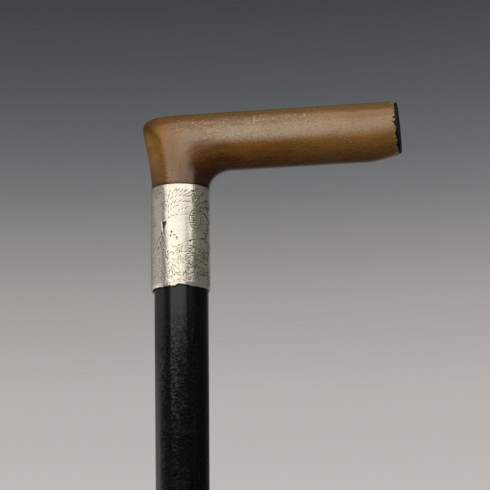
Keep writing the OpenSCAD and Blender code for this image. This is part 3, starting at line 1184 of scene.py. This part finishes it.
print("worn polish is ready")


# %% Ebonised wood
def shaft_finish():
    material, m = start_finish("ebonised_wood")
    place = own_place(m)
    clouds = drawn(m, place, (90, 90, 22))
    grain = drawn(m, place, (900, 900, 35), 4.0, 0.6)
    bumps = drawn(m, place, (750, 750, 1350), 4.0, 0.65, 0.5)
    folds = drawn(m, place, (420, 420, 800), 4.0, 0.6)
    lumps = drawn(m, place, (210, 210, 150), 3.0, 0.6)
    pits = drawn(m, place, (1300, 1300, 700), 2.0).ramp(0.66, 0.74)
    scratch = drawn(m, place, (1500, 1500, 60), 3.0, 0.6, turn=(0.12, 0.08, 0)).ramp(0.68, 0.74)
    knocked = clouds.ramp(0.45, 0.65) * (part_of(m, place, "Z") / MM).ramp(300, 40)
    polish, crease, wrinkled = shaft_polish(m, place, bumps, lumps, folds)
    colour = coated(
        m, blend(m, grain.ramp(0.4, 0.7), (0.0030, 0.0026, 0.0030), (0.0075, 0.0062, 0.0062)),
        (pits * 0.5, (0.03, 0.026, 0.023)),
        (scratch * (0.1 + knocked * 0.6), (0.10, 0.062, 0.035)),
    )
    relief = bumps * (0.3 + wrinkled * 0.4) + folds * wrinkled + lumps * 0.3
    relief = relief - pits * 0.15 - crease * 0.4
    end_finish(m, {
        "Base Color": colour, "Roughness": 0.3 + bumps * 0.06, "Specular IOR Level": 0.12,
        "Coat Weight": polish, "Coat Roughness": 0.13, "Coat IOR": 1.5,
        "Normal": bump(m, relief, 0.7 * MM, 1.0),
    })
    return material


shaft_wood = shaft_finish()
print("finish:", shaft_wood.name)

# %% [markdown]
# ## The shaft
# The shaft is shaved by hand from a straight stick, so it is never quite true. The grid's rows are
# rings up the stick, and a slow noise moves each ring's surface in by a few hundredths of a
# millimetre, which is enough to make the long reflection waver.

# %% Rows and sizes of the shaft's shape
shaft_sides = 128
shaft_body_rows = 520
shaft_rows = shaft_body_rows + 5
UNEVEN_R = 10  # millimetres from the middle at which the unevenness is read
UNEVEN_STRETCH = 0.35  # under 1, the unevenness is drawn out along the stick
shaft_sizes = {
    "Foot": shaft_foot, "Shoulder": ferrule_top, "Collar foot": collar_foot, "Top": shaft_top,
    "Peg radius": ferrule_bore_r, "Foot radius": shaft_foot_r, "Top radius": shaft_top_r,
    "Unevenness": 0.12 * MM,
}
print("shaft:", shaft_rows, "rows of", shaft_sides, "points, from", len(shaft_sizes), "sizes")


# %% The tapered stick
def shaft_shape(material, sizes):
    m, size = new_shape("Tapered stick", sizes)
    grid, row, column = grid_of(m, shaft_rows, shaft_sides)
    turn = column * (2 * math.pi / shaft_sides)
    body = ((row - 3) / (shaft_body_rows - 1)).between(0, 1)
    on_peg = row < 2.5
    over = row > shaft_rows - 2.5
    z = mix(size["Shoulder"], size["Collar foot"], body)
    z = mix(z, mix(size["Foot"], size["Shoulder"], row > 1.5), on_peg)
    z = mix(z, size["Top"], over)
    uneven = noise(m, on_circle(m, turn, UNEVEN_R, z / MM * UNEVEN_STRETCH), 0.11, 4.0, 0.55)
    radius = mix(size["Foot radius"], size["Top radius"], body)
    radius = radius - uneven * size["Unevenness"] * (1 - over) * (1 - on_peg)
    radius = mix(radius, size["Peg radius"], on_peg)
    radius = radius * (row > 0.5) * (row < shaft_rows - 1.5)
    place = point_at(m, radius * turn.cosine(), radius * turn.sine(), z)
    end_shape(m, weld(m, move_to(m, grid, place)), material)
    return m


print("tapered stick is ready to run")

# %% Run the shaft's shape
shaft = run_shape("wooden_shaft", shaft_shape, shaft_wood, shaft_sizes)
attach(shaft, "root")
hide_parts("shaft")

# %% [markdown]
# ## The foot
# A brass ferrule binds the foot of the shaft, and a steel plug closes it, which takes the wear of
# the ground. Brass dulls to brown away from the rubbed lower edge, and the steel is scratched and
# lightly rusted. Both are turned pieces with small dents.

# %% Metals
def metal_finish(name, bright, dull, spot, spots, least_rough):
    """Metal with a dull film, dark spots and scratches up and down."""
    material, m = start_finish(name)
    place = own_place(m)
    film = noise(m, place, 260.0, 5.0, 0.65)
    speck = noise(m, place, 1400.0, 4.0, 0.7)
    scratch = drawn(m, place, (2600, 2600, 120), 3.0, 0.6, turn=(0.1, 0.2, 0))
    rubbed = (part_of(m, place, "Z") / MM).ramp(14, 1) * 0.5
    colour = blend(m, (film + speck * 0.3 - 0.15 - rubbed * 0.4).ramp(0.38, 0.66), bright, dull)
    colour = blend(m, speck.ramp(1 - spots, 1.12 - spots), colour, spot)
    rough = least_rough + film * 0.2 + speck * 0.1
    end_finish(m, {
        "Base Color": colour, "Metallic": 0.9, "Roughness": rough,
        "Normal": bump(m, scratch * 0.6 + speck * 0.4, 0.03 * MM, 0.6),
    })
    return material


# The colours of the bright metal, its film and its spots, the share of spots, the least roughness.
metals = {
    "brass": ((0.62, 0.44, 0.17), (0.30, 0.19, 0.08), (0.09, 0.06, 0.035), 0.34, 0.24),
    "steel": ((0.42, 0.41, 0.39), (0.22, 0.20, 0.18), (0.16, 0.07, 0.03), 0.42, 0.34),
    "nail_brass": ((0.66, 0.48, 0.20), (0.36, 0.23, 0.10), (0.12, 0.08, 0.04), 0.32, 0.22),
}
brass, steel, nail_brass = (metal_finish(name, *looks) for name, looks in metals.items())
print("finishes:", list(metals))


# %% Pitch and iron
def dull_finish(name, low, high, scale):
    """Plain dull stuff for what hides inside: pitch or forged iron."""
    material, m = start_finish(name)
    lumps = noise(m, own_place(m), scale, 5.0, 0.65)
    end_finish(m, {
        "Base Color": blend(m, lumps.ramp(0.35, 0.7), low, high), "Roughness": 0.55 + lumps * 0.3,
        "Normal": bump(m, lumps, 0.08 * MM, 0.7),
    })
    return material


cement = dull_finish("cement", (0.018, 0.013, 0.010), (0.045, 0.034, 0.026), 900.0)
iron = dull_finish("iron", (0.10, 0.085, 0.075), (0.20, 0.17, 0.15), 700.0)
plain_solids = {"ferrule_nails": nail_brass, "collar_cement": cement, "joining_stud": iron}
for node, finish in plain_solids.items():
    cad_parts[node].data.materials[0] = finish
print("finishes:", cement.name, iron.name)

# %% A turned piece
FOOT_SIDES = 120
DENT_SPAN = 2.4 * MM
LONGEST_STEP = 0.5 * MM


def turned_ring(radius, height, dent_depth):
    """A ring of a turned piece, with its surface knocked in here and there."""
    middle = Vector((0, 0, height))
    if not radius:
        return [middle]
    ring = []
    for i in range(FOOT_SIDES):
        a = 2 * math.pi * i / FOOT_SIDES
        way = Vector((math.cos(a), math.sin(a), 0))
        knock = max(0, soft_noise.noise((way * radius + middle) / DENT_SPAN) - 0.15)
        ring.append(way * (radius - knock * dent_depth) + middle)
    return ring


def turned_piece(name, profile, dent_depth, material):
    """Revolves a profile of (radius, height) points, with long stretches cut into short steps."""
    rings = [turned_ring(*profile[0], 0)]
    for (r0, z0), (r1, z1) in zip(profile, profile[1:]):
        steps = max(1, round(abs(z1 - z0) / LONGEST_STEP))
        outside = min(r0, r1) > ferrule_bore_r + 0.1 * MM
        for step in range(1, steps + 1):
            share = step / steps
            depth = dent_depth if outside and step < steps else 0
            rings.append(turned_ring(mix(r0, r1, share), mix(z0, z1, share), depth))
    return sewn(name, rings, material)


print("turned pieces have", FOOT_SIDES, "sides")

# %% Turn the ferrule
ferrule_profile = [
    (ferrule_bore_r, ferrule_foot), (ferrule_r, ferrule_foot), (ferrule_r, ferrule_top - ferrule_bevel),
    (ferrule_r - ferrule_bevel * 0.3, ferrule_top - ferrule_bevel * 0.3),
    (ferrule_r - ferrule_bevel, ferrule_top), (ferrule_bore_r, ferrule_top),
]
ferrule = turned_piece("brass_ferrule", ferrule_profile, 0.12 * MM, brass)
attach(ferrule, "root")
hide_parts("ferrule")

# %% Turn the tip
TIP_EDGE_STEPS = 8
sole_r = ferrule_r - tip_edge
tip_profile = [(0, 0), (sole_r, 0)]
for step in range(1, TIP_EDGE_STEPS + 1):
    a = math.pi / 2 * step / TIP_EDGE_STEPS
    tip_profile.append((sole_r + tip_edge * math.sin(a), tip_edge - tip_edge * math.cos(a)))
tip_profile += [(ferrule_r, ferrule_foot), (ferrule_bore_r, ferrule_foot)]
tip_profile += [(ferrule_bore_r, tip_top), (0, tip_top)]
tip = turned_piece("steel_tip", tip_profile, 0.15 * MM, steel)
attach(tip, "root")
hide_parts("ferrule_tip")

# %% [markdown]
# ## The camera
# The photograph is taken from below the handle, looking up, and a camera was fitted to the outline
# of the cane. Yaw and pitch turn its axes. Its place is three distances along them from the
# collar's top: back, to the right and up. Roll then turns the picture by less than a degree. The
# frame is 490 pixels wide, and the focal length is 1600 of them.

# %% Camera
FRAME_PX = 490
FOCAL_PX = 1600
SENSOR_MM = 36
yaw, pitch, roll = math.radians(9.442), math.radians(12.848), math.radians(-0.849)
camera_back = 610.93 * MM
camera_right = 24.154 * MM
camera_up = -21.073 * MM

turned = Matrix.Rotation(yaw, 3, "Z") @ Matrix.Rotation(pitch, 3, "X")
right, forward, up = turned.col[0], turned.col[1], turned.col[2]
camera_data = bpy.data.cameras.new("camera")
camera_data.sensor_width = SENSOR_MM
camera_data.lens = FOCAL_PX / FRAME_PX * SENSOR_MM
camera = bpy.data.objects.new("camera", camera_data)
bpy.context.scene.collection.objects.link(camera)
aim = Vector((0, 0, collar_top))
camera.location = aim + right * camera_right + up * camera_up - forward * camera_back
facing = Matrix((right, up, -forward)).transposed()
camera.rotation_euler = (facing @ Matrix.Rotation(roll, 3, "Z")).to_euler()
bpy.context.scene.camera = camera
print("camera at", rounded(camera.location), "lens", round(camera_data.lens, 2))

# %% [markdown]
# ## Light and backdrop
# One large softbox hangs over the lens, brighter in its lower half, and a narrower one stands under
# it as a skirt that fades downwards. Their reflection is the pale band on the horn, the bright
# band on the silver and the grey band on the black shaft. A dim one on the left opens the shadows.

# %% Softboxes
def softbox(name, aim, azimuth, elevation, distance, width, height, radiance):
    """A rectangular lamp that faces its aim. Azimuth 0 is in front of the cane, on its -Y side."""
    data = bpy.data.lights.new(name, "AREA")
    data.shape = "RECTANGLE"
    data.size, data.size_y = width, height
    data.energy = radiance * math.pi * width * height
    lamp = bpy.data.objects.new(name, data)
    bpy.context.scene.collection.objects.link(lamp)
    a, e = math.radians(azimuth), math.radians(elevation)
    away = Vector((math.sin(a) * math.cos(e), -math.cos(a) * math.cos(e), math.sin(e)))
    lamp.location = aim + away * distance
    lamp.rotation_euler = away.to_track_quat("Z", "Y").to_euler()
    lamp.visible_camera = False
    return lamp


handle_aim = Vector((20 * MM, 0, collar_top + 10 * MM))
# After the aim: azimuth and elevation in degrees, distance, width and height in metres, radiance.
lamps = [
    softbox("key", handle_aim, 5, 47, 0.62, 1.75, 0.80, 0.75),
    softbox("key_low", handle_aim, 4, 30.5, 0.62, 1.55, 0.36, 0.5),
    softbox("skirt", handle_aim, -9, -5, 0.62, 0.62, 0.34, 0.36),
    softbox("skirt_top", handle_aim, -4, 5.2, 0.63, 0.84, 0.21, 0.94),
    softbox("fill", handle_aim, -82, 22, 0.9, 0.8, 0.9, 0.05),
]
print("softboxes:", [lamp.name for lamp in lamps])

# %% [markdown]
# The sky is a plain studio: the camera sees a smooth backdrop, dark above and pale below, and so
# do glossy surfaces, but dimmer where they face the dark front of the room. Its fill light is
# nearly even, with a little more from behind, from the left and from the pale floor, so that
# shapes still turn into shade in front.

# %% Helpers for the backdrop
def grey(maker, level):
    """A colour without a tint, from one result."""
    return maker.add("ShaderNodeCombineColor", None, {"Red": level, "Green": level, "Blue": level})


def times(maker, colour, other):
    """Two colours multiplied."""
    settings = {"data_type": "RGBA", "blend_type": "MULTIPLY"}
    return maker.add("ShaderNodeMix", settings, {0: 1.0, 6: colour, 7: other}, 2)


def ray(maker, kind):
    """1 for a ray of this kind and 0 for any other."""
    return maker.add("ShaderNodeLightPath", None, None, f"Is {kind} Ray")


print("backdrop helpers are ready")


# %% Backdrop
def sky():
    world = bpy.data.worlds.new("sky")
    world.use_nodes = True
    world.node_tree.nodes.clear()
    m = Maker(world.node_tree)
    direction = m.add("ShaderNodeTexCoord", None, None, "Generated")
    x, y, z = (part_of(m, direction, axis) for axis in "XYZ")
    stops = [
        (0.0, (0.522, 0.488, 0.472)), (0.2, (0.477, 0.446, 0.429)), (0.4, (0.366, 0.343, 0.330)),
        (0.51, (0.272, 0.264, 0.256)), (0.61, (0.188, 0.193, 0.195)), (0.7, (0.138, 0.145, 0.151)),
        (0.82, (0.095, 0.100, 0.106)), (1.0, (0.054, 0.059, 0.064)),
    ]
    height = m.add("ShaderNodeMapRange", None, {"Value": z, 1: 0.07, 2: 0.37})
    seen = m.add("ShaderNodeValToRGB", {"stops": stops}, {"Fac": height})
    lean = x * mix(-0.05, 0.42, height)
    tint = {"Red": 1 + lean, "Green": 1 + lean * 0.78, "Blue": 1 + lean}
    seen = times(m, seen, m.add("ShaderNodeCombineColor", None, tint))

    behind = y.ramp(-0.2, 0.7)
    left = x.ramp(0.1, -0.8)
    fill = 0.12 + 0.04 * z.ramp(-0.3, 1.0) + 0.14 * z.ramp(0.0, -0.7) + 0.08 * behind + 0.05 * left

    dark_front = mix(0.03, 0.10, y.ramp(-0.3, 0.5))
    bright_side = 1 + 0.8 * x.ramp(-0.8, -1.0) * z.ramp(0.2, 0.06) - 0.4 * y.ramp(0.2, 0.8)
    to_side = (y * 0.7 - x * 0.7).ramp(0.12, 0.5) * z.ramp(-0.7, -0.1)
    gloss = times(m, seen, grey(m, mix(dark_front, bright_side, to_side)))

    mirrored = ray(m, "Glossy").at_least(ray(m, "Transmission"))
    colour = blend(m, mirrored, grey(m, fill), gloss)
    colour = blend(m, ray(m, "Camera"), colour, seen)
    background = m.add("ShaderNodeBackground", None, {"Color": colour})
    m.add("ShaderNodeOutputWorld", None, {"Surface": background})
    bpy.context.scene.world = world


sky()
bpy.context.scene.view_settings.view_transform = "Standard"
print("backdrop is ready")

# %% [markdown]
# ## The floor
# The cane stands on a plain pale floor that fades into the backdrop with distance. Part of its
# paleness is for the camera alone, so that it looks pale without more light on the cane, and the
# rest takes the cane's shadow.

# %% Floor
FLOOR_RADIUS = 2.4
FLOOR_SIDES = 64


def floor_finish():
    material, m = start_finish("floor")
    away = m.add("ShaderNodeVectorMath", {"operation": "LENGTH"}, {0: own_place(m)}, "Value")
    paint = m.add("ShaderNodeBsdfDiffuse", None, {"Color": (0.72, 0.70, 0.68, 1)})
    lift = m.add("ShaderNodeEmission", None, {"Color": (0.50, 0.48, 0.455, 1), "Strength": 1.0})
    clear = m.add("ShaderNodeBsdfTransparent")
    body = m.add("ShaderNodeMixShader", None, {0: ray(m, "Camera") * 0.6, 1: paint, 2: lift})
    far = away.ramp(0.35, FLOOR_RADIUS * 0.95)
    faded = m.add("ShaderNodeMixShader", None, {0: far, 1: body, 2: clear})
    m.add("ShaderNodeOutputMaterial", None, {"Surface": faded})
    return material


def floor_rings():
    """Rings of the disc from its middle outwards, wound so that it faces up."""
    around = [2 * math.pi * i / FLOOR_SIDES for i in range(FLOOR_SIDES)]
    rings = [[Vector((0, 0, 0))]]
    for radius in (0.3, 0.8, 1.5, FLOOR_RADIUS):
        rings.append([Vector((math.cos(a), -math.sin(a), 0)) * radius for a in around])
    return rings


floor = sewn("floor", floor_rings(), floor_finish())
floor.visible_diffuse = False
floor.visible_glossy = False
print("floor is", 2 * FLOOR_RADIUS, "m across")
